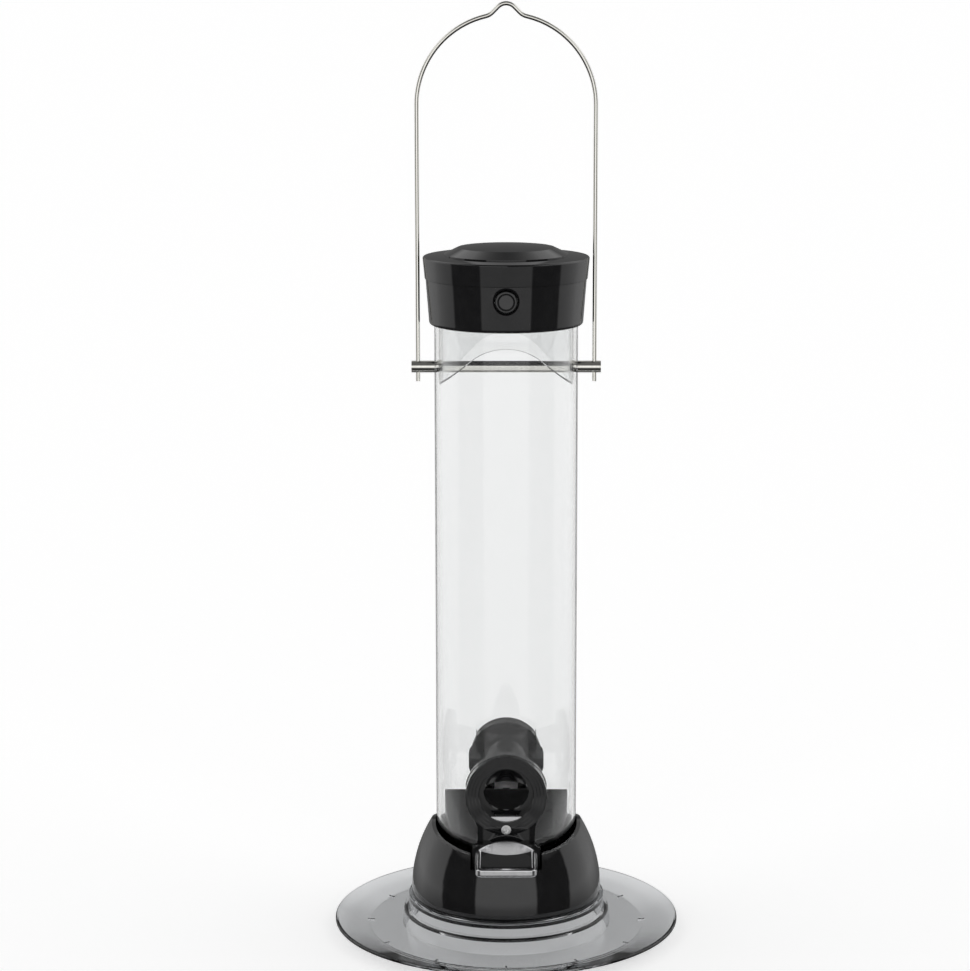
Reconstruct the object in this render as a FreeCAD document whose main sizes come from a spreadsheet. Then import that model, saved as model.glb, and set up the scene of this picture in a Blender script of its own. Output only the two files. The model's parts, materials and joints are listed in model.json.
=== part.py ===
import FreeCAD, Part
import math
import os
import re

import Sketcher

# Hanging tube bird feeder, in millimetres.  The tray's underside is z = 0, the tube's
# axis is x = y = 0, and the port with the latch button above it faces -Y.

SIZES = {
    # tube
    "tube_radius": 31.75,
    "tube_wall": 1.6,
    "tube_bottom": 19.8,
    "tube_top": 283.0,
    "window_radius": 13.0,
    # hanger
    "rod_height": 258.8,
    "rod_radius": 2.6,
    "rod_half": 41.9,
    "rod_gap": 0.05,
    "wire_radius": 0.95,
    "bail_half": 39.05,
    "bail_end": 252.3,
    "bail_shoulder": 373.8,
    "crown_top": 417.35,
    "crown_radius": 5.0,
    "crown_fillet": 6.0,
    "crown_slope": 45.0,
    # clear sleeve in the top of the tube
    "sleeve_outer": 29.9,
    "sleeve_inner": 28.4,
    "sleeve_bottom": 252.3,
    "flange_bottom": 283.1,
    "flange_top": 284.5,
    "flange_radius": 31.7,
    "arch_radius": 21.5,
    "arch_centre": 249.2,
    "arch_join": 14.6,
    "arch_foot": 30.9,
    "arch_foot_height": 249.9,
    # cap collar
    "collar_bottom": 277.9,
    "collar_round": 1.5,
    "collar_low_radius": 34.05,
    "collar_top": 298.1,
    "collar_top_radius": 35.5,
    "collar_bore": 31.95,
    "lip_bottom": 284.6,
    "lip_top": 286.0,
    "lip_radius": 28.6,
    "collar_cavity": 32.6,
    # lid
    "lid_bottom": 298.3,
    "lid_low_radius": 35.9,
    "lid_edge_height": 307.1,
    "lid_radius": 36.75,
    "lid_round": 0.8,
    "lid_top": 308.4,
    "lid_inner": 33.9,
    "lid_ceiling": 306.2,
    "plug_outer": 31.2,
    "plug_inner": 29.2,
    "plug_bottom": 294.0,
    "plug_gap_half": 8.0,
    "disc_base_radius": 27.4,
    "disc_radius": 21.3,
    "disc_edge": 311.8,
    "disc_top": 312.5,
    # hinge
    "hinge_back": 37.6,
    "hinge_height": 298.2,
    "knuckle_radius": 2.8,
    "pin_radius": 1.2,
    "pin_gap": 0.05,
    "pin_half": 12.2,
    "ear_inner": 6.0,
    "ear_outer": 12.0,
    "knuckle_half": 5.6,
    # button and latch
    "button_height": 291.6,
    "button_radius": 4.85,
    "button_face": 34.9,
    "button_back": 32.9,
    "button_bore": 5.1,
    "bezel_radius": 6.3,
    "stem_radius": 1.5,
    "stem_end": 19.5,
    "post_half": 2.5,
    "post_front": 26.9,
    "post_back": 25.5,
    "post_top": 296.0,
    "nose_front": 27.4,
    "nose_bottom": 294.9,
    "catch_half": 3.5,
    "catch_front": 29.8,
    "catch_back": 28.6,
    "catch_bottom": 293.5,
    "barb_tip": 27.8,
    "barb_top": 294.6,
    "bracket_half": 5.0,
    "bracket_front": 30.3,
    "bracket_face": 21.9,
    "bracket_back": 20.5,
    "bracket_foot": 1.2,
    "spring_radius": 2.2,
    "spring_wire": 0.28,
    "spring_turns": 2.25,
    # ports
    "port_height": 70.95,
    "ring_radius": 18.05,
    "ring_face": 33.3,
    "ring_bevel": 0.25,
    "step_one": 16.6,
    "step_two": 15.1,
    "step_three": 13.7,
    "step_depth": 0.35,
    "mouth_radius": 12.1,
    "spigot_radius": 12.9,
    "spigot_end": 26.6,
    "seat_radius": 31.85,
    "column_radius": 33.1,
    "column_half": 12.8,
    "flank_half": 16.2,
    "flank_top": 62.9,
    "flank_bottom": 55.9,
    "foot_radius": 36.6,
    "foot_shoulder": 49.0,
    "foot_half": 15.2,
    "foot_top": 46.6,
    "foot_bottom": 38.1,
    # metal sill in the foot of each port's mouth
    "sill_radius": 12.05,
    "sill_top": 61.0,
    "sill_leg_top": 59.7,
    "sill_front": 32.0,
    "sill_wall": 1.2,
    "sill_plate_half": 5.4,
    "sill_plate_top": 61.7,
    "sill_plate_bottom": 53.8,
    "sill_plate_front": 24.25,
    "sill_plate_back": 23.45,
    # hood flange inside the tube
    "hood_flange_radius": 18.0,
    "hood_seat_radius": 30.05,
    "hood_face": 24.3,
    "hood_bore": 9.4,
    "hood_low_bore": 10.2,
    "hood_radius": 10.6,
    "hood_centre": 23.3,
    "hood_height": 71.9,
    "clip_half": 0.9,
    "clip_across": 6.7,
    "clip_height": 59.0,
    # port screws and nuts
    "screw_height": 55.5,
    "screw_radius": 1.25,
    "screw_head_radius": 2.15,
    "screw_head_face": 33.5,
    "screw_head_back": 32.4,
    "screw_end": 21.2,
    "recess_half": 0.35,
    "recess_reach": 1.3,
    "recess_depth": 0.7,
    "nut_radius": 2.9,
    "nut_thickness": 1.8,
    # perches
    "perch_bottom": 43.3,
    "perch_top": 46.8,
    "perch_seat": 36.65,
    "perch_reach": 63.5,
    "perch_root_half": 13.4,
    "perch_half": 13.7,
    "perch_front_half": 13.4,
    "perch_corner": 3.0,
    "perch_edge": 0.5,
    "perch_belly": 1.2,
    "window_half": 11.2,
    "window_front": 60.7,
    "tab_radius": 37.9,
    "tab_side": 46.4,
    "tab_top": 51.4,
    "tab_arch": 18.9,
    "tab_low_side": 46.5,
    "tab_sag": 52.0,
    "tongue_half": 9.0,
    "tongue_end": 33.0,
    "tongue_bottom": 46.7,
    "tongue_top": 48.3,
    # skirt
    "skirt_bottom": 14.6,
    "skirt_low_radius": 42.9,
    "skirt_bead": 16.4,
    "skirt_radius": 43.2,
    "skirt_turn": 18.6,
    "skirt_arc": 61.9,
    "skirt_neck": 33.6,
    "skirt_top": 50.8,
    "skirt_inner": 41.1,
    "skirt_inner_arc": 60.0,
    "skirt_neck_inner": 31.95,
    "saddle_top": 50.9,
    "saddle_slope": 0.21,
    "saddle_round": 5.0,
    "notch_half": 15.9,
    "notch_bottom": 37.9,
    "boss_circle": 36.3,
    "boss_radius": 3.0,
    "boss_top": 34.0,
    # baffle
    "baffle_radius": 28.0,
    "baffle_wall": 1.5,
    "baffle_shoulder": 48.6,
    "baffle_ridge": 64.1,
    "ridge_half": 0.5,
    # base plate, its screws and insert
    "plate_rim_bottom": 15.0,
    "plate_bottom": 17.0,
    "plate_top": 19.6,
    "plate_radius": 40.9,
    "plate_rim": 39.3,
    "plug_radius": 29.95,
    "plug_bore": 28.15,
    "plug_height": 32.0,
    "hub_radius": 8.5,
    "hub_height": 29.0,
    "base_screw_radius": 1.5,
    "base_screw_head": 2.8,
    "base_head_bottom": 15.4,
    "base_screw_top": 31.0,
    "insert_radius": 4.5,
    "insert_bore": 3.05,
    "insert_bottom": 15.2,
    "insert_top": 27.2,
    # tray
    "tray_rim_radius": 78.3,
    "tray_rim_top": 5.2,
    "tray_rim_bottom": 4.0,
    "tray_rim_wall": 1.2,
    "tray_slope_radius": 62.5,
    "tray_floor": 2.0,
    "tray_floor_inner": 47.6,
    "tray_step_radius": 46.8,
    "tray_step_height": 9.3,
    "tray_hub_radius": 44.5,
    "tray_hub_inner": 43.5,
    "tray_lip": 15.6,
    "deck_top": 14.5,
    "deck_bottom": 12.5,
    "deck_bore": 3.6,
    "tray_wall": 2.0,
    "slot_start": 60.5,
    "slot_end": 63.6,
    "slot_half": 0.4,
    # knob under the tray
    "knob_radius": 13.0,
    "knob_bottom": 2.5,
    "knob_top": 11.2,
    "scallop_radius": 2.6,
    "scallop_circle": 14.3,
    "stud_radius": 2.95,
    "stud_top": 26.0,
    "stud_head_bottom": 4.0,
    "stud_head_top": 7.4,
    "stud_head_radius": 5.2,
    "washer_radius": 8.0,
    "washer_bore": 3.2,
    "washer_bottom": 11.3,
    "washer_top": 12.4,
}

os.makedirs("parts", exist_ok=True)
doc = FreeCAD.newDocument("hanging_tube_feeder")

sheet = doc.addObject("Spreadsheet::Sheet", "Sizes")
for row, (alias, value) in enumerate(SIZES.items(), start=1):
    sheet.set("A%d" % row, alias.replace("_", " "))
    sheet.set("B%d" % row, str(value))
    sheet.setAlias("B%d" % row, alias)
doc.recompute()

pieces = []


def bound(text):
    """The expression with each dimension's name pointed at the sheet."""
    return re.sub(r"[a-z_]+", lambda word: name_in_sheet(word.group()), text)


def name_in_sheet(word):
    if word in SIZES:
        return "Sizes." + word
    return word


def size(text):
    """The present value of an expression in the sheet's dimensions."""
    result = sheet.evalExpression(text)
    return float(getattr(result, "Value", result))


def body(name):
    made = doc.addObject("PartDesign::Body", name)
    made.Label = name
    pieces.append(made)
    return made


def sketch(owner, role, offset="0"):
    """A sketch on one of the body's own planes, moved along the plane's normal."""
    made = owner.newObject("Sketcher::SketchObject", owner.Name + "_sketch")
    plane = [item for item in owner.Origin.OriginFeatures if item.Role == role][0]
    made.AttachmentSupport = [(plane, "")]
    made.MapMode = "FlatFace"
    made.setExpression("AttachmentOffset.Base.z", bound(offset))
    return made


def pin_point(on, edge, end, across, up):
    """Hold one end of an edge at a place given by two expressions."""
    for kind, axis, text in (("DistanceX", -2, across), ("DistanceY", -1, up)):
        where = size(text)
        if abs(where) < 1e-9:
            on.addConstraint(Sketcher.Constraint("PointOnObject", edge, end, axis))
        else:
            index = on.addConstraint(Sketcher.Constraint(kind, -1, 1, edge, end, where))
            on.setExpression("Constraints[%d]" % index, bound(text))


def arc_between(start, end, radius, side):
    """The shorter arc from start to end, its centre on the given side of the way along."""
    chord = end - start
    rise = math.sqrt(radius ** 2 - (chord.Length / 2) ** 2)
    across = FreeCAD.Vector(-chord.y, chord.x, 0).normalize()
    if side == "right":
        across = -across
    centre = (start + end) / 2 + across * rise
    first = math.atan2(start.y - centre.y, start.x - centre.x)
    last = math.atan2(end.y - centre.y, end.x - centre.x)
    circle_round = Part.Circle(centre, FreeCAD.Vector(0, 0, 1), radius)
    if side == "left":
        return Part.ArcOfCircle(circle_round, first, last)
    return Part.ArcOfCircle(circle_round, last, first)


def add_edge(on, start, end, bend):
    """Add a line or an arc, and give its number and which of its ends come first."""
    if not bend:
        return on.addGeometry(Part.LineSegment(start, end), False), 1, 2
    edge = on.addGeometry(arc_between(start, end, size(bend[0]), bend[1]), False)
    if bend[1] == "left":
        return edge, 1, 2
    return edge, 2, 1


def fix_radius(on, edge, text):
    index = on.addConstraint(Sketcher.Constraint("Radius", edge, size(text)))
    on.setExpression("Constraints[%d]" % index, bound(text))


def outline(on, corners):
    """A closed outline.  A corner is (across, up), or (across, up, radius, side) where
    the edge that leaves it is an arc with its centre on that side."""
    places = [FreeCAD.Vector(size(item[0]), size(item[1]), 0) for item in corners]
    ends = places[1:] + places[:1]
    edges = []
    for start, end, corner in zip(places, ends, corners):
        edges.append(add_edge(on, start, end, corner[2:]))
    for (edge, start, end), follower in zip(edges, edges[1:] + edges[:1]):
        on.addConstraint(
            Sketcher.Constraint("Coincident", edge, end, follower[0], follower[1])
        )
    for (edge, start, end), corner in zip(edges, corners):
        pin_point(on, edge, start, corner[0], corner[1])
        if len(corner) == 4:
            fix_radius(on, edge, corner[2])


def circle(on, across, up, radius):
    centre = FreeCAD.Vector(size(across), size(up), 0)
    upward = FreeCAD.Vector(0, 0, 1)
    edge = on.addGeometry(Part.Circle(centre, upward, size(radius)), False)
    fix_radius(on, edge, radius)
    pin_point(on, edge, 3, across, up)


def box(on, left, bottom, right, top):
    outline(on, [(left, bottom), (right, bottom), (right, top), (left, top)])


def level_axis(on, up):
    """A construction line across the sketch at one height, to turn a profile about."""
    height = size(up)
    start = FreeCAD.Vector(-1, height, 0)
    end = FreeCAD.Vector(1, height, 0)
    edge = on.addGeometry(Part.LineSegment(start, end), True)
    pin_point(on, edge, 1, "-1", up)
    pin_point(on, edge, 2, "1", up)
    return "Axis0"


def turn(owner, profile, kind="Revolution", axis="V_Axis", angle=360):
    made = owner.newObject("PartDesign::" + kind, owner.Name + "_turn")
    made.Profile = profile
    made.ReferenceAxis = (profile, [axis])
    made.Midplane = angle != 360
    made.Angle = angle
    doc.recompute()
    return made


def pad(owner, profile, length, both=False, back=False):
    made = owner.newObject("PartDesign::Pad", owner.Name + "_pad")
    made.Profile = profile
    made.Midplane = both
    made.Reversed = back
    made.setExpression("Length", bound(length))
    doc.recompute()
    return made


def pocket(owner, profile, length, both=False, back=False):
    """Cut against the sketch's normal, or along it where back is set."""
    before = owner.Shape.Volume
    made = owner.newObject("PartDesign::Pocket", owner.Name + "_pocket")
    made.Profile = profile
    made.Midplane = both
    made.Reversed = back
    made.setExpression("Length", bound(length))
    doc.recompute()
    if owner.Shape.Volume > before - 1e-6:
        raise ValueError("a pocket cut nothing from " + owner.Label)
    return made


def soften(owner, radius, height, clear_of):
    """Round the level edges at one height that lie further out than a given half width."""
    base = owner.Tip
    names = []
    for count, edge in enumerate(base.Shape.Edges, start=1):
        room = edge.BoundBox
        level = max(abs(room.ZMin - size(height)), abs(room.ZMax - size(height))) < 1e-5
        outside = max(abs(room.XMin), abs(room.XMax)) > size(clear_of)
        if level and outside:
            names.append("Edge%d" % count)
    made = owner.newObject("PartDesign::Fillet", owner.Name + "_soft")
    made.Base = (base, names)
    made.setExpression("Radius", bound(radius))
    doc.recompute()
    return made


def primitive(kind, name, sizes, place=("0", "0", "0"), turned=None):
    """A Part primitive with its sizes and its place bound to the sheet."""
    made = doc.addObject(kind, name)
    made.Label = name
    for key, text in sizes.items():
        made.setExpression(key, bound(text))
    if turned:
        made.Placement.Rotation = FreeCAD.Rotation(FreeCAD.Vector(*turned[0]), turned[1])
    for axis, text in zip("xyz", place):
        made.setExpression("Placement.Base." + axis, bound(text))
    return made


def combine(kind, name, base, tool):
    made = doc.addObject(kind, name)
    made.Label = name
    made.Base = base
    made.Tool = tool
    return made


def group(name, members):
    made = doc.addObject("Part::Compound", name)
    made.Label = name
    made.Links = members
    return made


def turned_copy(source, name, degrees):
    """A copy of a piece, turned about the tube's axis, that follows the first one."""
    made = doc.addObject("Part::Compound", name)
    made.Label = name
    made.Links = [source]
    made.Placement.Rotation = FreeCAD.Rotation(FreeCAD.Vector(0, 0, 1), degrees)
    return made


THROUGH = "4 * tube_radius"
QUARTERS = (45, 135, 225, 315)
ALONG_X = ((0, 1, 0), 90)
FRONTWARD = ((1, 0, 0), 90)


# --- tube -----------------------------------------------------------------------------

tube = body("tube")
wall = sketch(tube, "XY_Plane", "tube_bottom")
circle(wall, "0", "0", "tube_radius")
circle(wall, "0", "0", "tube_radius - tube_wall")
pad(tube, wall, "tube_top - tube_bottom")
rod_hole = sketch(tube, "YZ_Plane")
circle(rod_hole, "0", "rod_height", "rod_radius + rod_gap")
pocket(tube, rod_hole, THROUGH, both=True)
windows = sketch(tube, "XZ_Plane")
circle(windows, "0", "port_height", "window_radius")
circle(windows, "0", "screw_height", "screw_radius + rod_gap")
pocket(tube, windows, THROUGH, both=True)

# --- hanger ---------------------------------------------------------------------------

def bail_places():
    """The corners of the bail's line: foot, shoulder, and the places where the bow
    meets the small fillet, the fillet meets the ramp and the ramp meets the crown."""
    half = size("bail_half")
    shoulder = size("bail_shoulder")
    tip = size("crown_radius")
    fillet = size("crown_fillet")
    slope = math.radians(size("crown_slope"))
    crown = size("crown_top - crown_radius")
    rise = crown - shoulder
    drop = math.sqrt((half + fillet) ** 2 - (rise * math.cos(slope) + tip + fillet) ** 2)
    ramp = rise * math.sin(slope) - drop
    fillet_x = (tip + fillet) * math.sin(slope) + ramp * math.cos(slope)
    fillet_z = crown + (tip + fillet) * math.cos(slope) - ramp * math.sin(slope)
    share = half / (half + fillet)
    tip_x = tip * math.sin(slope)
    tip_z = crown + tip * math.cos(slope)
    return [
        (half, size("bail_end")),
        (half, shoulder),
        (share * fillet_x, shoulder + share * (fillet_z - shoulder)),
        (tip_x + ramp * math.cos(slope), tip_z - ramp * math.sin(slope)),
        (tip_x, tip_z),
    ]


bail_wire = body("bail_wire")
path = sketch(bail_wire, "XZ_Plane")
right = [FreeCAD.Vector(across, up, 0) for across, up in bail_places()]
left = [FreeCAD.Vector(-item.x, item.y, 0) for item in right]
stops = left + right[::-1]
bends = [
    (),
    ("bail_half", "right"),
    ("crown_fillet", "left"),
    (),
    ("crown_radius", "right"),
    (),
    ("crown_fillet", "left"),
    ("bail_half", "right"),
    (),
]
line = []
for start, end, bend in zip(stops, stops[1:], bends):
    line.append(add_edge(path, start, end, bend))
for (edge, start, end), follower in zip(line, line[1:]):
    path.addConstraint(Sketcher.Constraint("Tangent", edge, end, follower[0], follower[1]))
pin_point(path, line[0][0], 1, "-bail_half", "bail_end")
pin_point(path, line[8][0], 2, "bail_half", "bail_end")
for leg in (line[0][0], line[8][0]):
    path.addConstraint(Sketcher.Constraint("Vertical", leg))
for bow in (line[1][0], line[7][0]):
    pin_point(path, bow, 3, "0", "bail_shoulder")
pin_point(path, line[4][0], 3, "0", "crown_top - crown_radius")
fix_radius(path, line[4][0], "crown_radius")
for fillet in (line[2][0], line[6][0]):
    fix_radius(path, fillet, "crown_fillet")
for ramp, angle in ((line[3][0], "crown_slope"), (line[5][0], "-crown_slope")):
    tilt = Sketcher.Constraint("Angle", ramp, math.radians(size(angle)))
    index = path.addConstraint(tilt)
    path.setExpression("Constraints[%d]" % index, bound(angle) + " * 1 deg")
wire_end = sketch(bail_wire, "XY_Plane", "bail_end")
circle(wire_end, "-bail_half", "0", "wire_radius")
doc.recompute()
bend_wire = bail_wire.newObject("PartDesign::AdditivePipe", "bail_wire_pipe")
bend_wire.Profile = wire_end
bend_wire.Spine = path
doc.recompute()

cross_rod = body("cross_rod")
rod = sketch(cross_rod, "YZ_Plane")
circle(rod, "0", "rod_height", "rod_radius")
pad(cross_rod, rod, "2 * rod_half", both=True)
wire_holes = sketch(cross_rod, "XY_Plane", "rod_height")
circle(wire_holes, "bail_half", "0", "wire_radius + rod_gap")
circle(wire_holes, "-bail_half", "0", "wire_radius + rod_gap")
pocket(cross_rod, wire_holes, "4 * rod_radius", both=True)

# --- clear sleeve ---------------------------------------------------------------------

cap_sleeve = body("cap_sleeve")
profile = sketch(cap_sleeve, "XZ_Plane")
outline(profile, [
    ("sleeve_inner", "sleeve_bottom"),
    ("sleeve_outer", "sleeve_bottom"),
    ("sleeve_outer", "flange_bottom"),
    ("flange_radius", "flange_bottom"),
    ("flange_radius", "flange_top"),
    ("sleeve_inner", "flange_top"),
])
turn(cap_sleeve, profile)
sleeve_hole = sketch(cap_sleeve, "YZ_Plane")
circle(sleeve_hole, "0", "rod_height", "rod_radius + rod_gap")
pocket(cap_sleeve, sleeve_hole, THROUGH, both=True)
ARCH_RISE = "arch_centre + sqrt(arch_radius ^ 2 - arch_join ^ 2)"
arch = sketch(cap_sleeve, "XZ_Plane")
outline(arch, [
    ("arch_foot", "sleeve_bottom - 5"),
    ("arch_foot", "arch_foot_height"),
    ("arch_join", ARCH_RISE, "arch_radius", "left"),
    ("-arch_join", ARCH_RISE),
    ("-arch_foot", "arch_foot_height"),
    ("-arch_foot", "sleeve_bottom - 5"),
])
pocket(cap_sleeve, arch, THROUGH, both=True)

# --- cap collar -----------------------------------------------------------------------

cap_collar = body("cap_collar")
profile = sketch(cap_collar, "XZ_Plane")
outline(profile, [
    ("collar_bore", "collar_bottom"),
    ("collar_low_radius - collar_round", "collar_bottom", "collar_round", "left"),
    ("collar_low_radius", "collar_bottom + collar_round"),
    ("collar_top_radius", "collar_top"),
    ("collar_cavity", "collar_top"),
    ("collar_cavity", "lip_top"),
    ("lip_radius", "lip_top"),
    ("lip_radius", "lip_bottom"),
    ("collar_bore", "lip_bottom"),
])
turn(cap_collar, profile)
ears = sketch(cap_collar, "YZ_Plane")
outline(ears, [
    ("collar_cavity + 0.6", "collar_top - 10"),
    ("collar_top_radius - 0.6", "collar_top - 10"),
    ("hinge_back + knuckle_radius * 0.94", "hinge_height - knuckle_radius * 0.34"),
    ("hinge_back", "collar_top"),
    ("collar_cavity + 0.6", "collar_top"),
])
pad(cap_collar, ears, "2 * ear_outer", both=True)
knuckles = sketch(cap_collar, "YZ_Plane")
circle(knuckles, "hinge_back", "hinge_height", "knuckle_radius")
pad(cap_collar, knuckles, "2 * ear_outer", both=True)
clearance = sketch(cap_collar, "YZ_Plane")
circle(clearance, "hinge_back", "hinge_height", "knuckle_radius + 0.3")
pocket(cap_collar, clearance, "ear_inner * 2 - 0.4", both=True)
pin_hole = sketch(cap_collar, "YZ_Plane")
circle(pin_hole, "hinge_back", "hinge_height", "pin_radius + pin_gap")
pocket(cap_collar, pin_hole, THROUGH, both=True)
bezel = sketch(cap_collar, "YZ_Plane")
outline(bezel, [
    ("-button_face - 3", "button_height"),
    ("-button_face + 4", "button_height"),
    ("-button_face + 4", "button_height + button_bore"),
    ("-button_face + 1.1", "button_height + button_bore"),
    ("-button_face - 0.2", "button_height + bezel_radius"),
    ("-button_face - 3", "button_height + bezel_radius"),
])
turn(cap_collar, bezel, "Groove", level_axis(bezel, "button_height"))

# --- lid ------------------------------------------------------------------------------

lid = body("lid")
profile = sketch(lid, "XZ_Plane")
outline(profile, [
    ("lid_inner", "lid_bottom"),
    ("lid_low_radius", "lid_bottom"),
    ("lid_radius", "lid_edge_height", "lid_round", "left"),
    ("lid_radius - lid_round", "lid_edge_height + lid_round"),
    ("disc_base_radius + 0.6", "lid_top"),
    ("0", "lid_top"),
    ("0", "lid_ceiling"),
    ("plug_inner", "lid_ceiling"),
    ("plug_inner", "plug_bottom"),
    ("plug_outer", "plug_bottom"),
    ("plug_outer", "lid_ceiling - 0.4"),
    ("lid_inner", "lid_ceiling - 0.4"),
])
turn(lid, profile)
ear_room = sketch(lid, "YZ_Plane")
circle(ear_room, "hinge_back", "hinge_height", "knuckle_radius + 0.4")
pocket(lid, ear_room, "ear_outer * 2 + 0.6", both=True)
knuckle = sketch(lid, "YZ_Plane")
outline(knuckle, [
    ("lid_low_radius - 1.5", "hinge_height + 0.3"),
    ("hinge_back - knuckle_radius * 0.5", "hinge_height + 0.3"),
    ("hinge_back", "hinge_height + knuckle_radius * 0.9"),
    ("lid_low_radius - 1.5", "hinge_height + knuckle_radius + 1.5"),
])
pad(lid, knuckle, "2 * knuckle_half", both=True)
barrel = sketch(lid, "YZ_Plane")
circle(barrel, "hinge_back", "hinge_height", "knuckle_radius")
pad(lid, barrel, "2 * knuckle_half", both=True)
pin_hole = sketch(lid, "YZ_Plane")
circle(pin_hole, "hinge_back", "hinge_height", "pin_radius + pin_gap")
pocket(lid, pin_hole, THROUGH, both=True)
plug_gap = sketch(lid, "XY_Plane", "plug_bottom - 1")
box(plug_gap, "-plug_gap_half", "-collar_cavity", "plug_gap_half", "-plug_inner + 2.2")
pocket(lid, plug_gap, "lid_ceiling - 0.4 - plug_bottom + 1", back=True)
catch = sketch(lid, "YZ_Plane")
outline(catch, [
    ("-catch_front", "catch_bottom"),
    ("-barb_tip - 0.5", "catch_bottom"),
    ("-barb_tip", "barb_top"),
    ("-catch_back", "barb_top"),
    ("-catch_back", "lid_ceiling + 0.1"),
    ("-catch_front", "lid_ceiling + 0.1"),
])
pad(lid, catch, "2 * catch_half", both=True)

lid_crown = body("lid_crown")
profile = sketch(lid_crown, "XZ_Plane")
outline(profile, [
    ("0", "lid_top"),
    ("disc_base_radius", "lid_top"),
    ("disc_base_radius", "lid_top + 0.5"),
    ("disc_radius", "disc_edge", "disc_radius * disc_radius / 1.4 + 0.35", "left"),
    ("0", "disc_top"),
])
turn(lid_crown, profile)

lid_hinge_pin = primitive(
    "Part::Cylinder", "lid_hinge_pin",
    {"Radius": "pin_radius", "Height": "2 * pin_half"},
    ("-pin_half", "hinge_back", "hinge_height"), ALONG_X,
)
pieces.append(lid_hinge_pin)

# --- button and latch -----------------------------------------------------------------

push_button = body("push_button")
profile = sketch(push_button, "YZ_Plane")
outline(profile, [
    ("-button_face + 0.4", "button_height"),
    ("-stem_end", "button_height"),
    ("-stem_end", "button_height + stem_radius"),
    ("-button_back", "button_height + stem_radius"),
    ("-button_back", "button_height + button_radius"),
    ("-button_face + 0.6", "button_height + button_radius", "0.6", "left"),
    ("-button_face", "button_height + button_radius - 0.6"),
    ("-button_face", "button_height + button_radius - 1.0"),
    ("-button_face + 0.4", "button_height + button_radius - 1.8"),
])
turn(push_button, profile, "Revolution", level_axis(profile, "button_height"))
post = sketch(push_button, "YZ_Plane")
outline(post, [
    ("-post_front", "button_height + 0.5"),
    ("-post_back", "button_height + 0.5"),
    ("-post_back", "post_top"),
    ("-post_front", "post_top"),
    ("-nose_front", "nose_bottom + 0.4"),
    ("-nose_front", "nose_bottom"),
    ("-post_front", "nose_bottom"),
])
pad(push_button, post, "2 * post_half", both=True)

latch_bracket = body("latch_bracket")
bend = sketch(latch_bracket, "YZ_Plane")
outline(bend, [
    ("-bracket_front", "lip_top"),
    ("-bracket_back", "lip_top"),
    ("-bracket_back", "button_height + 4.4"),
    ("-bracket_face", "button_height + 4.4"),
    ("-bracket_face", "lip_top + bracket_foot"),
    ("-bracket_front", "lip_top + bracket_foot"),
])
pad(latch_bracket, bend, "2 * bracket_half", both=True)
stem_hole = sketch(latch_bracket, "XZ_Plane")
circle(stem_hole, "0", "button_height", "stem_radius + rod_gap")
pocket(latch_bracket, stem_hole, THROUGH, both=True)


def coil(radius, wire, length, turns):
    """A round-wire coil spring that stands on z = 0, lofted through rings of the wire."""
    pitch = (length - 2 * wire) / turns
    lead = math.atan2(pitch, 2 * math.pi * radius)
    upright = FreeCAD.Vector(0, 0, 1)
    rings = []
    steps = int(round(12 * turns))
    for step in range(steps + 1):
        spin = FreeCAD.Rotation(upright, 360 * turns * step / steps)
        centre = spin.multVec(FreeCAD.Vector(radius, 0, 0))
        centre.z = wire + pitch * turns * step / steps
        heading = spin.multVec(FreeCAD.Vector(0, math.cos(lead), math.sin(lead)))
        rings.append(Part.Wire(Part.makeCircle(wire, centre, heading)))
    return Part.makeLoft(rings, True)


button_spring = doc.addObject("Part::Feature", "button_spring")
button_spring.Label = "button_spring"
button_spring.Shape = coil(
    size("spring_radius"), size("spring_wire"), size("post_back - bracket_face"),
    size("spring_turns"),
)
button_spring.Placement = FreeCAD.Placement(
    FreeCAD.Vector(0, -size("bracket_face"), size("button_height")),
    FreeCAD.Rotation(FreeCAD.Vector(*FRONTWARD[0]), FRONTWARD[1]),
)
pieces.append(button_spring)

# --- ports ----------------------------------------------------------------------------

port_front = body("port_front")
column = sketch(port_front, "XZ_Plane", "spigot_end")
outline(column, [
    ("-foot_half", "foot_bottom"),
    ("foot_half", "foot_bottom"),
    ("foot_half", "foot_top"),
    ("column_half", "foot_top + 1.6"),
    ("column_half", "flank_bottom"),
    ("flank_half", "flank_top"),
    ("-flank_half", "flank_top"),
    ("-column_half", "flank_bottom"),
    ("-column_half", "foot_top + 1.6"),
    ("-foot_half", "foot_top"),
])
pad(port_front, column, "foot_radius - spigot_end + 1")
for height, radius in (("foot_bottom - 1", "foot_radius"),
                       ("foot_shoulder", "column_radius")):
    outside = sketch(port_front, "XY_Plane", height)
    circle(outside, "0", "0", "2 * foot_radius")
    circle(outside, "0", "0", radius)
    pocket(port_front, outside, "ring_radius * 2", back=True)
ring = sketch(port_front, "YZ_Plane")
ring_corners = [
    ("-spigot_end + 2", "port_height + mouth_radius"),
    ("-spigot_end + 2", "port_height + ring_radius"),
    ("-ring_face + ring_bevel", "port_height + ring_radius"),
    ("-ring_face", "port_height + ring_radius - ring_bevel"),
]
for count, radius in enumerate(("step_one", "step_two", "step_three")):
    face = "-ring_face + %d * step_depth" % count
    ring_corners += [
        (face, "port_height + %s + ring_bevel" % radius),
        (face + " + ring_bevel", "port_height + " + radius),
        (face + " + step_depth", "port_height + " + radius),
    ]
MOUTH_FACE = "-ring_face + 3 * step_depth"
ring_corners += [
    (MOUTH_FACE, "port_height + mouth_radius + ring_bevel"),
    (MOUTH_FACE + " + ring_bevel", "port_height + mouth_radius"),
]
outline(ring, ring_corners)
turn(port_front, ring, "Revolution", level_axis(ring, "port_height"))
seat = sketch(port_front, "XY_Plane", "foot_bottom - 1")
circle(seat, "0", "0", "seat_radius")
pocket(port_front, seat, "ring_radius * 4", back=True)
spigot = sketch(port_front, "XZ_Plane", "spigot_end")
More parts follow.
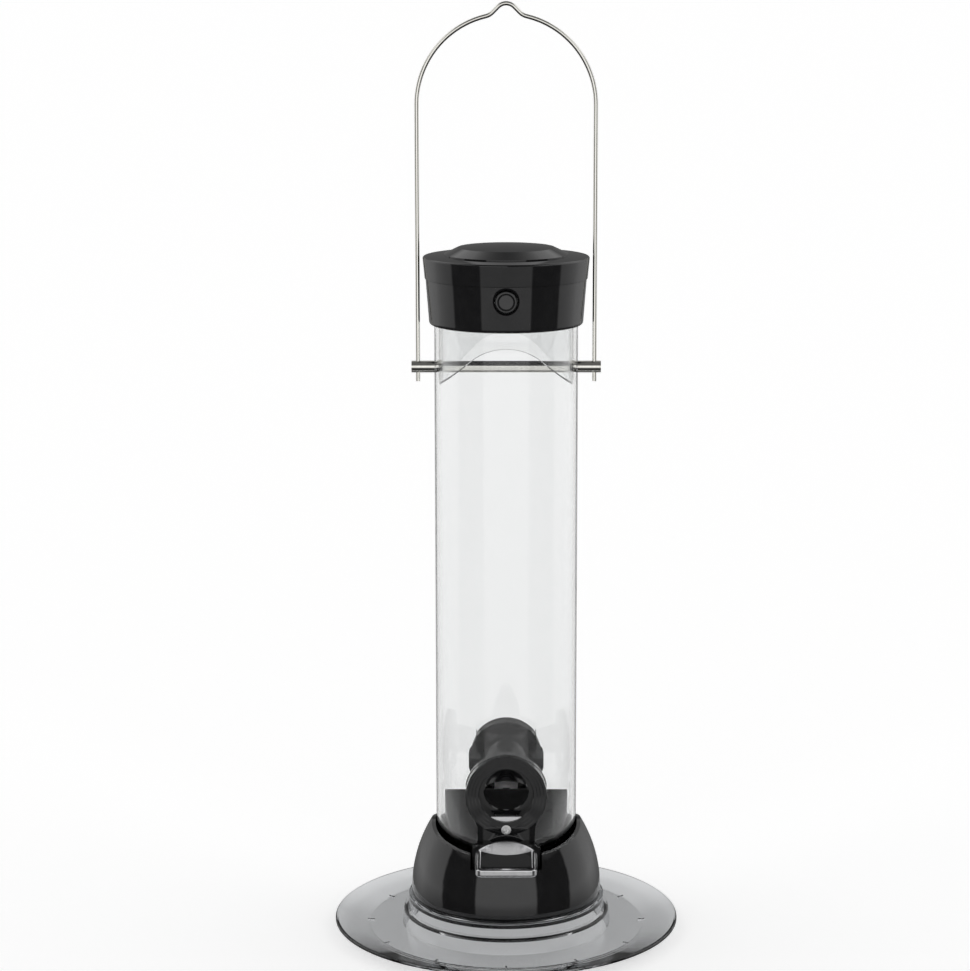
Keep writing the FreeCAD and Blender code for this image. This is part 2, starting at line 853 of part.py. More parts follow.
circle(spigot, "0", "port_height", "spigot_radius")
pad(port_front, spigot, "ring_face - spigot_end - 3 * step_depth - 0.3")
mouth = sketch(port_front, "XZ_Plane", "ring_face + 1")
circle(mouth, "0", "port_height", "mouth_radius")
pocket(port_front, mouth, "ring_face")
screw_hole = sketch(port_front, "XZ_Plane", "foot_radius")
circle(screw_hole, "0", "screw_height", "screw_radius + rod_gap")
pocket(port_front, screw_hole, "foot_radius")
head_room = sketch(port_front, "XZ_Plane", "foot_radius")
circle(head_room, "0", "screw_height", "screw_head_radius + 0.1")
pocket(port_front, head_room, "foot_radius - screw_head_back")
tongue_room = sketch(port_front, "XY_Plane", "tongue_bottom - rod_gap")
box(tongue_room, "-tongue_half - rod_gap", "-foot_radius - 1",
    "tongue_half + rod_gap", "-tongue_end")
pocket(port_front, tongue_room, "tongue_top - tongue_bottom + 2 * rod_gap", back=True)

port_sill_front = body("port_sill_front")
lip = sketch(port_sill_front, "XZ_Plane", "sill_front - sill_wall")
SILL_HALF = "sqrt(sill_radius ^ 2 - (port_height - sill_top) ^ 2)"
outline(lip, [
    ("-" + SILL_HALF, "sill_top", "sill_radius", "left"),
    (SILL_HALF, "sill_top"),
])
pad(port_sill_front, lip, "sill_wall")
leg = sketch(port_sill_front, "XZ_Plane", "sill_plate_back")
LEG_HALF = "sqrt(sill_radius ^ 2 - (port_height - sill_leg_top) ^ 2)"
outline(leg, [
    ("-" + LEG_HALF, "sill_leg_top", "sill_radius", "left"),
    (LEG_HALF, "sill_leg_top"),
])
pad(port_sill_front, leg, "sill_front - sill_wall / 2 - sill_plate_back")
plate = sketch(port_sill_front, "XZ_Plane", "sill_plate_back")
box(plate, "-sill_plate_half", "sill_plate_bottom", "sill_plate_half", "sill_plate_top")
circle(plate, "0", "screw_height", "screw_radius + rod_gap")
pad(port_sill_front, plate, "sill_plate_front - sill_plate_back")

seed_hood_front = body("seed_hood_front")
flange = sketch(seed_hood_front, "XZ_Plane", "hood_face")
circle(flange, "0", "port_height", "hood_flange_radius")
pad(seed_hood_front, flange, "tube_radius - hood_face + 1")
outside = sketch(seed_hood_front, "XY_Plane", "port_height")
circle(outside, "0", "0", "2 * tube_radius")
circle(outside, "0", "0", "hood_seat_radius")
pocket(seed_hood_front, outside, "ring_radius * 4", both=True)
hood = sketch(seed_hood_front, "YZ_Plane")
outline(hood, [
    ("-hood_face - 0.4", "hood_height + hood_bore"),
    ("-hood_centre", "hood_height + hood_bore", "hood_bore", "right"),
    ("-hood_centre + hood_bore", "hood_height"),
    ("-hood_centre + hood_radius", "hood_height", "hood_radius", "left"),
    ("-hood_centre", "hood_height + hood_radius"),
    ("-hood_face - 0.4", "hood_height + hood_radius"),
])
turn(seed_hood_front, hood, "Revolution", level_axis(hood, "hood_height"), 180)
passage = sketch(seed_hood_front, "XZ_Plane", "tube_radius")
circle(passage, "0", "hood_height", "hood_bore")
pocket(seed_hood_front, passage, "tube_radius - hood_face + 0.2")
low_passage = sketch(seed_hood_front, "XZ_Plane", "tube_radius")
outline(low_passage, [
    ("-hood_low_bore", "hood_height", "hood_low_bore * 1.0001", "left"),
    ("hood_low_bore", "hood_height"),
])
pocket(seed_hood_front, low_passage, "tube_radius - hood_face + 1")
spigot_room = sketch(seed_hood_front, "XZ_Plane", "tube_radius")
circle(spigot_room, "0", "port_height", "spigot_radius + 0.1")
pocket(seed_hood_front, spigot_room, "tube_radius - spigot_end + 0.1")
leg_room = sketch(seed_hood_front, "XZ_Plane", "tube_radius")
box(leg_room, "-sill_plate_half - 0.6", "port_height - sill_radius - rod_gap",
    "sill_plate_half + 0.6", "sill_leg_top + 0.6")
pocket(seed_hood_front, leg_room, "tube_radius - hood_face + 1")
screw_hole = sketch(seed_hood_front, "XZ_Plane", "tube_radius")
circle(screw_hole, "0", "screw_height", "screw_radius + rod_gap")
pocket(seed_hood_front, screw_hole, "tube_radius")
clips = sketch(seed_hood_front, "XZ_Plane", "hood_face - 1")
for side in ("-", ""):
    middle = side + "clip_across"
    box(clips, middle + " - clip_half", "clip_height - clip_half",
        middle + " + clip_half", "clip_height + clip_half")
pocket(seed_hood_front, clips, "2.4", back=True)

# --- perches --------------------------------------------------------------------------

perch_front = body("perch_front")
loop = sketch(perch_front, "XY_Plane", "perch_bottom")
outline(loop, [
    ("-perch_root_half", "-tongue_end"),
    ("-perch_root_half", "-perch_seat - 1"),
    ("-perch_half", "-perch_seat - 6"),
    ("-perch_half", "-perch_reach + 8"),
    ("-perch_front_half", "-perch_reach + perch_corner", "perch_corner", "left"),
    ("-perch_front_half + perch_corner", "-perch_reach"),
    ("perch_front_half - perch_corner", "-perch_reach", "perch_corner", "left"),
    ("perch_front_half", "-perch_reach + perch_corner"),
    ("perch_half", "-perch_reach + 8"),
    ("perch_half", "-perch_seat - 6"),
    ("perch_root_half", "-perch_seat - 1"),
    ("perch_root_half", "-tongue_end"),
    ("window_half", "-tongue_end"),
    ("window_half", "-window_front + 0.8"),
    ("window_half - 0.8", "-window_front"),
    ("-window_half + 0.8", "-window_front"),
    ("-window_half", "-window_front + 0.8"),
    ("-window_half", "-tongue_end"),
])
pad(perch_front, loop, "perch_top - perch_bottom")
soften(perch_front, "perch_belly", "perch_bottom", "window_half + 0.3")
soften(perch_front, "perch_edge", "perch_top", "0")
tab = sketch(perch_front, "XY_Plane", "perch_bottom + perch_belly")
SEAT_BACK = "-sqrt(perch_seat ^ 2 - column_half ^ 2)"
TAB_BACK = "-sqrt(tab_radius ^ 2 - column_half ^ 2)"
outline(tab, [
    ("-column_half", SEAT_BACK + " + 0.5"),
    ("-column_half", TAB_BACK, "tab_radius", "left"),
    ("column_half", TAB_BACK),
    ("column_half", SEAT_BACK + " + 0.5"),
])
pad(perch_front, tab, "tab_top - perch_bottom - perch_belly")
arch = sketch(perch_front, "XZ_Plane", "tongue_end - 10")
outline(arch, [
    ("-column_half - 2", "tab_side"),
    ("-column_half", "tab_side", "tab_arch", "right"),
    ("column_half", "tab_side"),
    ("column_half + 2", "tab_side"),
    ("column_half + 2", "tab_top + 2"),
    ("-column_half - 2", "tab_top + 2"),
])
pocket(perch_front, arch, "perch_reach", back=True)
sag = sketch(perch_front, "XZ_Plane", "tongue_end - 10")
outline(sag, [
    ("-window_half", "perch_bottom - 1"),
    ("window_half", "perch_bottom - 1"),
    ("window_half", "tab_low_side", "tab_sag", "right"),
    ("-window_half", "tab_low_side"),
])
pocket(perch_front, sag, "tab_radius - tongue_end + 11", back=True)
seat = sketch(perch_front, "XY_Plane", "perch_bottom - 1")
circle(seat, "0", "0", "perch_seat")
pocket(perch_front, seat, "ring_radius", back=True)
tongue = sketch(perch_front, "XY_Plane", "tongue_bottom")
box(tongue, "-tongue_half", "-tab_radius + 0.6", "tongue_half", "-tongue_end - rod_gap")
pad(perch_front, tongue, "tongue_top - tongue_bottom")

# --- the second port, on the far side of the tube --------------------------------------

for source in (port_front, port_sill_front, seed_hood_front, perch_front):
    name = source.Label.replace("_front", "_back")
    pieces.append(turned_copy(source, name, 180))

screw_shank = primitive(
    "Part::Cylinder", "screw_shank",
    {"Radius": "screw_radius", "Height": "screw_head_back - screw_end"},
    ("0", "-screw_end", "screw_height"), FRONTWARD,
)
screw_head = primitive(
    "Part::Cylinder", "screw_head",
    {"Radius": "screw_head_radius", "Height": "screw_head_face - screw_head_back"},
    ("0", "-screw_head_back", "screw_height"), FRONTWARD,
)
recess_flat = primitive(
    "Part::Box", "recess_flat",
    {"Length": "2 * recess_reach", "Width": "2 * recess_depth",
     "Height": "2 * recess_half"},
    ("-recess_reach", "-screw_head_face - recess_depth", "screw_height - recess_half"),
)
recess_upright = primitive(
    "Part::Box", "recess_upright",
    {"Length": "2 * recess_half", "Width": "2 * recess_depth",
     "Height": "2 * recess_reach"},
    ("-recess_half", "-screw_head_face - recess_depth", "screw_height - recess_reach"),
)
screw_blank = combine("Part::Fuse", "screw_blank", screw_head, screw_shank)
screw_recess = combine("Part::Fuse", "screw_recess", recess_flat, recess_upright)
port_screw = combine("Part::Cut", "port_screw", screw_blank, screw_recess)
port_screws = group("port_screws", [port_screw, turned_copy(port_screw, "far_screw", 180)])
pieces.append(port_screws)

nut_blank = primitive(
    "Part::Prism", "nut_blank",
    {"Circumradius": "nut_radius", "Height": "nut_thickness"},
    ("0", "-sill_plate_back + nut_thickness", "screw_height"), FRONTWARD,
)
nut_bore = primitive(
    "Part::Cylinder", "nut_bore",
    {"Radius": "screw_radius + rod_gap", "Height": "4 * nut_thickness"},
    ("0", "-sill_plate_back + 2 * nut_thickness", "screw_height"), FRONTWARD,
)
port_nut = combine("Part::Cut", "port_nut", nut_blank, nut_bore)
port_nuts = group("port_nuts", [port_nut, turned_copy(port_nut, "far_nut", 180)])
pieces.append(port_nuts)

# --- base skirt -----------------------------------------------------------------------

base_skirt = body("base_skirt")
profile = sketch(base_skirt, "XZ_Plane")
outline(profile, [
    ("skirt_inner", "skirt_bottom"),
    ("skirt_low_radius", "skirt_bottom"),
    ("skirt_low_radius + 0.15", "skirt_bead"),
    ("skirt_low_radius - 0.2", "skirt_bead + 0.2"),
    ("skirt_low_radius + 0.2", "skirt_bead + 0.5"),
    ("skirt_radius", "skirt_turn", "skirt_arc", "left"),
    ("skirt_neck", "skirt_top"),
    ("skirt_neck_inner", "skirt_top", "skirt_inner_arc", "right"),
    ("skirt_inner", "skirt_turn + 1.4"),
])
turn(base_skirt, profile)
saddle = sketch(base_skirt, "YZ_Plane")
SADDLE_ROUND = "saddle_top - saddle_slope * saddle_round"
SADDLE_END = "saddle_top - saddle_slope * 1.2 * skirt_radius"
outline(saddle, [
    ("-1.2 * skirt_radius", SADDLE_END),
    ("-saddle_round", SADDLE_ROUND,
     "saddle_round * sqrt(1 + 1 / saddle_slope ^ 2)", "right"),
    ("saddle_round", SADDLE_ROUND),
    ("1.2 * skirt_radius", SADDLE_END),
    ("1.2 * skirt_radius", "saddle_top + 5"),
    ("-1.2 * skirt_radius", "saddle_top + 5"),
])
pocket(base_skirt, saddle, THROUGH, both=True)
notch = sketch(base_skirt, "XZ_Plane")
box(notch, "-notch_half", "notch_bottom", "notch_half", "saddle_top + 5")
pocket(base_skirt, notch, THROUGH, both=True)
bosses = sketch(base_skirt, "XY_Plane", "plate_top + 0.1")
for quarter in QUARTERS:
    circle(bosses, "boss_circle * cos(%d deg)" % quarter,
           "boss_circle * sin(%d deg)" % quarter, "boss_radius")
pad(base_skirt, bosses, "boss_top - plate_top - 0.1")
pilots = sketch(base_skirt, "XY_Plane", "plate_top")
for quarter in QUARTERS:
    circle(pilots, "boss_circle * cos(%d deg)" % quarter,
           "boss_circle * sin(%d deg)" % quarter, "base_screw_radius + rod_gap")
pocket(base_skirt, pilots, "base_screw_top - plate_top + 0.5", back=True)

# --- seed baffle ----------------------------------------------------------------------

def roof(name, radius, ridge, shoulder, top):
    """A roof that runs from a round shoulder up to a thin straight ridge."""
    low = primitive("Part::Circle", name + "_low", {"Radius": radius},
                    ("0", "0", shoulder))
    high = primitive("Part::Ellipse", name + "_high",
                     {"MajorRadius": radius, "MinorRadius": ridge}, ("0", "0", top))
    made = doc.addObject("Part::Loft", name)
    made.Sections = [low, high]
    made.Solid = True
    made.Ruled = True
    return made


BAFFLE_BOTTOM = "plate_top + 0.1"
baffle_roof = roof("baffle_roof", "baffle_radius", "ridge_half",
                   "baffle_shoulder", "baffle_ridge")
baffle_drum = primitive(
    "Part::Cylinder", "baffle_drum",
    {"Radius": "baffle_radius", "Height": "baffle_shoulder - plate_top - 0.1"},
    ("0", "0", BAFFLE_BOTTOM),
)
hollow_roof = roof("hollow_roof", "baffle_radius - baffle_wall", "ridge_half",
                   "baffle_shoulder - baffle_wall", "baffle_ridge - 2 * baffle_wall")
hollow_drum = primitive(
    "Part::Cylinder", "hollow_drum",
    {"Radius": "baffle_radius - baffle_wall",
     "Height": "baffle_shoulder - baffle_wall - plate_top + 5"},
    ("0", "0", "plate_top - 5"),
)
baffle_blank = combine("Part::Fuse", "baffle_blank", baffle_drum, baffle_roof)
baffle_hollow = combine("Part::Fuse", "baffle_hollow", hollow_drum, hollow_roof)
seed_baffle = combine("Part::Cut", "seed_baffle", baffle_blank, baffle_hollow)
pieces.append(seed_baffle)

# --- base plate -----------------------------------------------------------------------

base_plate = body("base_plate")
profile = sketch(base_plate, "XZ_Plane")
outline(profile, [
    ("insert_radius + rod_gap", "plate_rim_bottom"),
    ("hub_radius", "plate_rim_bottom"),
    ("hub_radius", "plate_bottom"),
    ("plate_rim", "plate_bottom"),
    ("plate_rim", "plate_rim_bottom"),
    ("plate_radius", "plate_rim_bottom"),
    ("plate_radius", "plate_top"),
    ("plug_radius", "plate_top"),
    ("plug_radius", "plug_height"),
    ("plug_bore", "plug_height"),
    ("plug_bore", "plate_top"),
    ("hub_radius", "plate_top"),
    ("hub_radius", "hub_height"),
    ("insert_radius + rod_gap", "hub_height"),
])
turn(base_plate, profile)
screw_holes = sketch(base_plate, "XY_Plane", "plate_bottom - 1")
for quarter in QUARTERS:
    circle(screw_holes, "boss_circle * cos(%d deg)" % quarter,
           "boss_circle * sin(%d deg)" % quarter, "base_screw_radius + rod_gap")
pocket(base_plate, screw_holes, "plate_top - plate_bottom + 2", back=True)

base_screw_head = primitive(
    "Part::Cylinder", "base_screw_head",
    {"Radius": "base_screw_head", "Height": "plate_bottom - base_head_bottom"},
    ("0", "0", "base_head_bottom"),
)
base_screw_shank = primitive(
    "Part::Cylinder", "base_screw_shank",
    {"Radius": "base_screw_radius", "Height": "base_screw_top - plate_bottom"},
    ("0", "0", "plate_bottom"),
)
base_screw = combine("Part::Fuse", "base_screw", base_screw_head, base_screw_shank)
placed_screws = []
for quarter in QUARTERS:
    placed = turned_copy(base_screw, "base_screw_%d" % quarter, 0)
    placed.setExpression("Placement.Base.x", bound("boss_circle * cos(%d deg)" % quarter))
    placed.setExpression("Placement.Base.y", bound("boss_circle * sin(%d deg)" % quarter))
    placed_screws.append(placed)
pieces.append(group("base_screws", placed_screws))

tray_insert = body("tray_insert")
ring = sketch(tray_insert, "XY_Plane", "insert_bottom")
circle(ring, "0", "0", "insert_radius")
circle(ring, "0", "0", "insert_bore")
pad(tray_insert, ring, "insert_top - insert_bottom")

# --- tray -----------------------------------------------------------------------------

tray = body("tray")
profile = sketch(tray, "XZ_Plane")
outline(profile, [
    ("deck_bore", "deck_bottom"),
    ("tray_hub_inner - tray_wall + 0.6", "deck_bottom"),
    ("tray_hub_inner - tray_wall + 0.6", "tray_step_height - 1.8"),
    ("tray_step_radius - tray_wall", "tray_step_height - 2.2"),
    ("tray_floor_inner - tray_wall + 0.2", "0"),
    ("tray_slope_radius", "0"),
    ("tray_rim_radius", "tray_rim_bottom"),
    ("tray_rim_radius", "tray_rim_top - 0.5", "0.5", "left"),
    ("tray_rim_radius - 0.5", "tray_rim_top"),
    ("tray_rim_radius - tray_rim_wall", "tray_rim_top"),
    ("tray_slope_radius", "tray_floor"),
    ("tray_floor_inner", "tray_floor"),
    ("tray_step_radius", "tray_step_height - 0.6"),
    ("tray_step_radius - 0.6", "tray_step_height"),
    ("tray_hub_radius", "tray_step_height + 0.3"),
    ("tray_hub_radius", "tray_lip"),
    ("tray_hub_inner", "tray_lip"),
    ("tray_hub_inner", "deck_top"),
    ("deck_bore", "deck_top"),
])
turn(tray, profile)
slot = sketch(tray, "XY_Plane", "-1")
box(slot, "slot_start", "-slot_half", "slot_end", "slot_half")
first_slot = pocket(tray, slot, "tray_lip", back=True)
slots = tray.newObject("PartDesign::PolarPattern", "tray_slots")
slots.Originals = [first_slot]
slots.Axis = (slot, ["N_Axis"])
slots.Angle = 360
slots.Occurrences = 12
tray.Tip = slots
doc.recompute()

# --- knob under the tray ----------------------------------------------------------------

tray_knob = body("tray_knob")
grip = sketch(tray_knob, "XY_Plane", "knob_bottom")
circle(grip, "0", "0", "knob_radius")
pad(tray_knob, grip, "knob_top - knob_bottom")
bore = sketch(tray_knob, "XY_Plane", "0")
circle(bore, "0", "0", "stud_radius + rod_gap")
pocket(tray_knob, bore, "tray_lip", back=True)
scallops = sketch(tray_knob, "XY_Plane", "0")
circle(scallops, "scallop_circle", "0", "scallop_radius")
first_scallop = pocket(tray_knob, scallops, "tray_lip", back=True)
fluting = tray_knob.newObject("PartDesign::PolarPattern", "tray_knob_fluting")
fluting.Originals = [first_scallop]
fluting.Axis = (scallops, ["N_Axis"])
fluting.Angle = 360
fluting.Occurrences = 8
tray_knob.Tip = fluting
doc.recompute()
hex_room = sketch(tray_knob, "XY_Plane", "0")
SIXTHS = range(0, 360, 60)
outline(hex_room, [
    ("(stud_head_radius + rod_gap) * cos(%d deg)" % sixth,
     "(stud_head_radius + rod_gap) * sin(%d deg)" % sixth)
    for sixth in SIXTHS
])
pocket(tray_knob, hex_room, "stud_head_top + rod_gap", back=True)

stud_shank = primitive(
    "Part::Cylinder", "stud_shank",
    {"Radius": "stud_radius", "Height": "stud_top - stud_head_bottom"},
    ("0", "0", "stud_head_bottom"),
)
stud_head = primitive(
    "Part::Prism", "stud_head",
    {"Circumradius": "stud_head_radius", "Height": "stud_head_top - stud_head_bottom"},
    ("0", "0", "stud_head_bottom"),
)
tray_stud = combine("Part::Fuse", "tray_stud", stud_shank, stud_head)
pieces.append(tray_stud)

tray_washer = body("tray_washer")
ring = sketch(tray_washer, "XY_Plane", "washer_bottom")
circle(ring, "0", "0", "washer_radius")
circle(ring, "0", "0", "washer_bore")
pad(tray_washer, ring, "washer_top - washer_bottom")

# --- check and write --------------------------------------------------------------------

doc.recompute()
for item in doc.Objects:
    if "Invalid" in item.State or "Error" in item.State:
        raise ValueError("%s is in error: %s" % (item.Label, item.State))
for piece in pieces:
    if piece.Shape.isNull() or not piece.Shape.isValid():
        raise ValueError(piece.Label + " has no valid shape")
for piece in pieces:
    piece.Shape.exportStep("parts/" + piece.Label + ".step")
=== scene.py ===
import json
import math

import bpy
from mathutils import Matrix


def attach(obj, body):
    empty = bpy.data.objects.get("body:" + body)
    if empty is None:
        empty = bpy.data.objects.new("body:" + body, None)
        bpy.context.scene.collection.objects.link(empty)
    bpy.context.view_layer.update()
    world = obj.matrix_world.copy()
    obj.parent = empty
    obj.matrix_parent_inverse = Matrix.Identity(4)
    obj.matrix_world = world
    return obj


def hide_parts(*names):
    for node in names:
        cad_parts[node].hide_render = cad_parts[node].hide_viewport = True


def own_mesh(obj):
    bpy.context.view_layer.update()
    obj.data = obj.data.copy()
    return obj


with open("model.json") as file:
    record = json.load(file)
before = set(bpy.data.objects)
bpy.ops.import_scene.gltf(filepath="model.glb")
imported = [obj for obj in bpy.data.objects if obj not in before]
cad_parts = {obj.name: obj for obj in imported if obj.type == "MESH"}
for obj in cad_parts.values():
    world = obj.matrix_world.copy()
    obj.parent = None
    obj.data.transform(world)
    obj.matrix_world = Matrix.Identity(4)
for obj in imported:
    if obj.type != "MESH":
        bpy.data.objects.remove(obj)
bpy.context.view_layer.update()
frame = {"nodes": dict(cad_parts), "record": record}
nodes = frame["nodes"]
scene = bpy.context.scene

# Lengths are in metres and angles in radians, except where a line says otherwise.
FLOOR_REACH = 60.0
FLOOR_DROP = 0.0002
FLOOR_GREY = 0.9
FLOOR_GLOW = 0.5

SENSOR_WIDTH = 36  # mm
LENS = 102.25  # mm
SIDE_SHIFT = -0.0218  # in frame widths
CAMERA_DISTANCE = 1.2097
CAMERA_HEIGHT = 0.43777
LOOK_DOWN = 0.19

# Brightness round the object, by turn: 0 is the camera's side and 1 is behind.
LEVEL_LIGHT = [(0.0, 1.3), (0.2, 1.3), (0.212, 0.1), (0.452, 0.1),
               (0.47, 1.1), (0.68, 1.1), (0.84, 0.4), (1.0, 0.12)]
RAISED_LIGHT = [(0.0, 0.15), (0.24, 0.15), (0.36, 1.2), (0.8, 1.2), (1.0, 0.6)]
OVERHEAD_LIGHT = 0.15
UNDER_LIGHT = 0.05

# Heights between which one light gives way to the next: 1 is overhead, -1 is below.
LEVEL_TO_RAISED = (0.36, 0.5)
RAISED_TO_OVERHEAD = (0.7, 0.88)
LEVEL_TO_UNDER = (-0.13, -0.43)


# --- nodes ----------------------------------------------------------------------------


def material(name, **inputs):
    """A Principled material and its node tree, with plain socket values set on it."""
    made = bpy.data.materials.new(name)
    made.use_nodes = True
    tree = made.node_tree
    shader = tree.nodes["Principled BSDF"]
    for key, value in inputs.items():
        shader.inputs[key.replace("_", " ")].default_value = value
    return made, tree, shader


def node(tree, kind, **settings):
    """A new node, each setting being one of its properties or else a plain input."""
    made = tree.nodes.new(kind)
    for key, value in settings.items():
        if hasattr(made, key):
            setattr(made, key, value)
        else:
            made.inputs[key.replace("_", " ")].default_value = value
    return made


def noise(tree, scale, detail, roughness=0.5, stretch=(1, 1, 1)):
    """Noise over the object's own coordinates, in metres, stretched if asked."""
    where = node(tree, "ShaderNodeTexCoord")
    shape = node(tree, "ShaderNodeMapping")
    shape.inputs["Scale"].default_value = stretch
    made = node(tree, "ShaderNodeTexNoise", Scale=scale, Detail=detail, Roughness=roughness)
    tree.links.new(where.outputs["Object"], shape.inputs["Vector"])
    tree.links.new(shape.outputs["Vector"], made.inputs["Vector"])
    return made.outputs["Fac"]


def spread(tree, source, low, high, start, end):
    """The source mapped from start..end to low..high."""
    made = node(tree, "ShaderNodeMapRange")
    made.inputs["From Min"].default_value = start
    made.inputs["From Max"].default_value = end
    made.inputs["To Min"].default_value = low
    made.inputs["To Max"].default_value = high
    tree.links.new(source, made.inputs["Value"])
    return made.outputs["Result"]


def tint(tree, source, dark, light, start, end):
    """From the dark colour to the light one as the source goes from start to end."""
    made = node(tree, "ShaderNodeMix", data_type="RGBA")
    made.inputs["A"].default_value = (*dark, 1)
    made.inputs["B"].default_value = (*light, 1)
    tree.links.new(spread(tree, source, 0, 1, start, end), made.inputs["Factor"])
    return [item for item in made.outputs if item.type == "RGBA"][0]


def bump(tree, shader, source, height, strength):
    """Relief of that height on the shader's surface."""
    made = node(tree, "ShaderNodeBump")
    made.inputs["Strength"].default_value = strength
    made.inputs["Distance"].default_value = height
    tree.links.new(source, made.inputs["Height"])
    tree.links.new(made.outputs["Normal"], shader.inputs["Normal"])


# --- materials ------------------------------------------------------------------------


def black_plastic():
    """Polished black moulding: faint flow marks, a little haze where it is handled."""
    made, tree, shader = material("black_plastic", IOR=1.5)
    flow = noise(tree, scale=45, detail=3, stretch=(1, 1, 0.35))
    haze = noise(tree, scale=160, detail=6, roughness=0.65)
    colour = tint(tree, haze, dark=(0.006, 0.006, 0.0065), light=(0.0105, 0.0105, 0.011),
                  start=0.35, end=0.75)
    rough = spread(tree, haze, low=0.025, high=0.08, start=0.35, end=0.8)
    tree.links.new(colour, shader.inputs["Base Color"])
    tree.links.new(rough, shader.inputs["Roughness"])
    bump(tree, shader, flow, height=0.00003, strength=0.4)
    return made


def clear_plastic(name, colour, line_scale):
    """Clear moulded or drawn plastic: faint lines along it and a trace of haze."""
    haze_darkening = 0.985
    made, tree, shader = material(name, IOR=1.49, Transmission_Weight=1.0)
    lines = noise(tree, line_scale, detail=3, stretch=(1, 1, 0.02))
    haze = noise(tree, scale=240, detail=5, roughness=0.6)
    shade = tint(tree, haze, dark=tuple(item * haze_darkening for item in colour),
                 light=colour, start=0.35, end=0.7)
    rough = spread(tree, haze, low=0.0, high=0.02, start=0.45, end=0.8)
    tree.links.new(shade, shader.inputs["Base Color"])
    tree.links.new(rough, shader.inputs["Roughness"])
    bump(tree, shader, lines, height=0.000005, strength=0.2)
    return made


def metal(name, dark, light, rough, grain, height, stretch=(1, 1, 1)):
    """Metal with fine streaks that vary its colour and its polish."""
    middle = {"start": 0.3, "end": 0.7}
    made, tree, shader = material(name, Metallic=1.0)
    streaks = noise(tree, grain, detail=5, roughness=0.6, stretch=stretch)
    colour = tint(tree, streaks, dark, light, **middle)
    polish = spread(tree, streaks, *rough, **middle)
    tree.links.new(colour, shader.inputs["Base Color"])
    tree.links.new(polish, shader.inputs["Roughness"])
    bump(tree, shader, streaks, height, strength=0.5)
    return made


BLACK = black_plastic()
CLEAR = clear_plastic("clear_plastic", (0.93, 0.935, 0.935), line_scale=60)
SMOKE = clear_plastic("smoked_plastic", (0.68, 0.69, 0.70), line_scale=30)
WIRE = metal("stainless_wire", dark=(0.62, 0.61, 0.57), light=(0.72, 0.71, 0.67),
             rough=(0.08, 0.16), grain=900, height=0.000004, stretch=(1, 1, 0.05))
CAST = metal("cast_metal", dark=(0.70, 0.70, 0.71), light=(0.82, 0.82, 0.83),
             rough=(0.12, 0.22), grain=500, height=0.00001)
STEEL = metal("bright_steel", dark=(0.66, 0.66, 0.66), light=(0.78, 0.78, 0.78),
              rough=(0.15, 0.28), grain=700, height=0.00001)
SATIN = metal("satin_sheet", dark=(0.80, 0.80, 0.81), light=(0.92, 0.92, 0.93),
              rough=(0.42, 0.55), grain=700, height=0.00001, stretch=(0.1, 1, 1))
BRASS = metal("turned_brass", dark=(0.66, 0.47, 0.20), light=(0.78, 0.60, 0.30),
              rough=(0.2, 0.32), grain=600, height=0.00001, stretch=(1, 1, 6))

FINISH = {
    "clear": CLEAR,
    "black": BLACK,
    "smoke": SMOKE,
    "steel": STEEL,
    "bright_cast": CAST,
    "brass": BRASS,
}
# Pieces whose metal is drawn or rolled, unlike the rest of their slot.
OWN_FINISH = {
    "bail_wire": WIRE,
    "cross_rod": WIRE,
    "port_sill_front": SATIN,
    "port_sill_back": SATIN,
}
for part in frame["record"]["subparts"]:
    finish = OWN_FINISH.get(part["node"], FINISH[part["material_slot"]])
    nodes[part["node"]].data.materials.clear()
    nodes[part["node"]].data.materials.append(finish)


# --- latch spring ---------------------------------------------------------------------

# The spring rests on the bracket; here it is a copy with its own mesh on the feeder body,
# and the part's own spring is hidden.
spring = bpy.data.objects.new("latch_spring", nodes["button_spring"].data.copy())
scene.collection.objects.link(spring)
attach(spring, "feeder")
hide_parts("button_spring")
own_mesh(spring)


# --- floor, light and camera ----------------------------------------------------------


def lay_floor():
    """A white floor that glows a little and isn't mirrored in the object."""
    corners = [(-1, -1), (1, -1), (1, 1), (-1, 1)]
    mesh = bpy.data.meshes.new("floor")
    mesh.from_pydata([(x * FLOOR_REACH, y * FLOOR_REACH, -FLOOR_DROP) for x, y in corners],
                     [], [(0, 1, 2, 3)])
    floor = bpy.data.objects.new("floor", mesh)
    floor.visible_glossy = False
    scene.collection.objects.link(floor)
    paint, _, shader = material("floor_white", Roughness=0.9, Specular_IOR_Level=0.0)
    shader.inputs["Base Color"].default_value = (FLOOR_GREY, FLOOR_GREY, FLOOR_GREY, 1)
    shader.inputs["Emission Color"].default_value = (1, 1, 1, 1)
    shader.inputs["Emission Strength"].default_value = FLOOR_GLOW
    mesh.materials.append(paint)


def ramp(tree, source, stops):
    """Grey tones by place along 0..1."""
    made = node(tree, "ShaderNodeValToRGB")
    points = made.color_ramp.elements
    while len(points) < len(stops):
        points.new(0.5)
    for point, (place, tone) in zip(points, stops):
        point.position = place
        point.color = (tone, tone, tone, 1)
    tree.links.new(source, made.inputs["Fac"])
    return made.outputs["Color"]


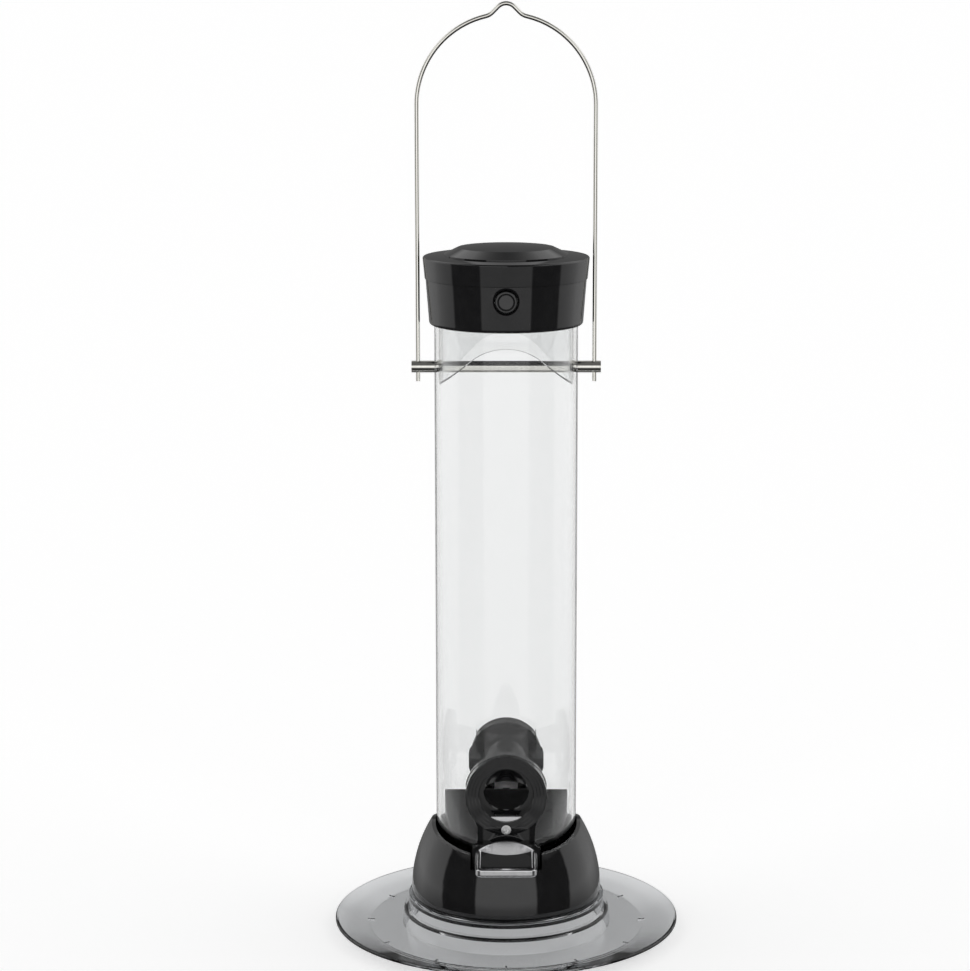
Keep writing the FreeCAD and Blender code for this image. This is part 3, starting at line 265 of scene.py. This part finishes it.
def blend(tree, factor, first, second):
    """From the first colour to the second, which may be a plain grey."""
    made = node(tree, "ShaderNodeMix", data_type="RGBA")
    tree.links.new(factor, made.inputs["Factor"])
    tree.links.new(first, made.inputs["A"])
    if isinstance(second, float):
        made.inputs["B"].default_value = (second, second, second, 1)
    else:
        tree.links.new(second, made.inputs["B"])
    return [item for item in made.outputs if item.type == "RGBA"][0]


def studio():
    """Large soft lights in front and at both sides, dark gaps between, dark overhead."""
    world = bpy.data.worlds.new("studio")
    world.use_nodes = True
    scene.world = world
    tree = world.node_tree
    where = node(tree, "ShaderNodeTexCoord")
    split = node(tree, "ShaderNodeSeparateXYZ")
    tree.links.new(where.outputs["Generated"], split.inputs["Vector"])
    facing = node(tree, "ShaderNodeMath", operation="MULTIPLY")
    facing.inputs[1].default_value = -1
    tree.links.new(split.outputs["Y"], facing.inputs[0])
    around = node(tree, "ShaderNodeMath", operation="ARCTAN2")
    tree.links.new(split.outputs["X"], around.inputs[0])
    tree.links.new(facing.outputs[0], around.inputs[1])
    turned = node(tree, "ShaderNodeMath", operation="ABSOLUTE")
    tree.links.new(around.outputs[0], turned.inputs[0])
    turn = spread(tree, turned.outputs[0], 0, 1, 0, math.pi)

    def passing(heights):
        return spread(tree, split.outputs["Z"], 0, 1, *heights)

    level = ramp(tree, turn, LEVEL_LIGHT)
    raised = ramp(tree, turn, RAISED_LIGHT)
    tone = blend(tree, passing(LEVEL_TO_RAISED), level, raised)
    tone = blend(tree, passing(RAISED_TO_OVERHEAD), tone, OVERHEAD_LIGHT)
    tone = blend(tree, passing(LEVEL_TO_UNDER), tone, UNDER_LIGHT)
    tree.links.new(tone, tree.nodes["Background"].inputs["Color"])


def set_camera():
    """A long lens that looks a little down at the object."""
    camera = bpy.data.cameras.new("camera")
    camera.sensor_width = SENSOR_WIDTH
    camera.lens = LENS
    camera.shift_x = SIDE_SHIFT
    viewer = bpy.data.objects.new("camera", camera)
    viewer.location = (0, -CAMERA_DISTANCE, CAMERA_HEIGHT)
    viewer.rotation_euler = (math.pi / 2 - LOOK_DOWN, 0, 0)
    scene.collection.objects.link(viewer)
    scene.camera = viewer


scene.view_settings.view_transform = "Standard"
lay_floor()
studio()
set_camera()
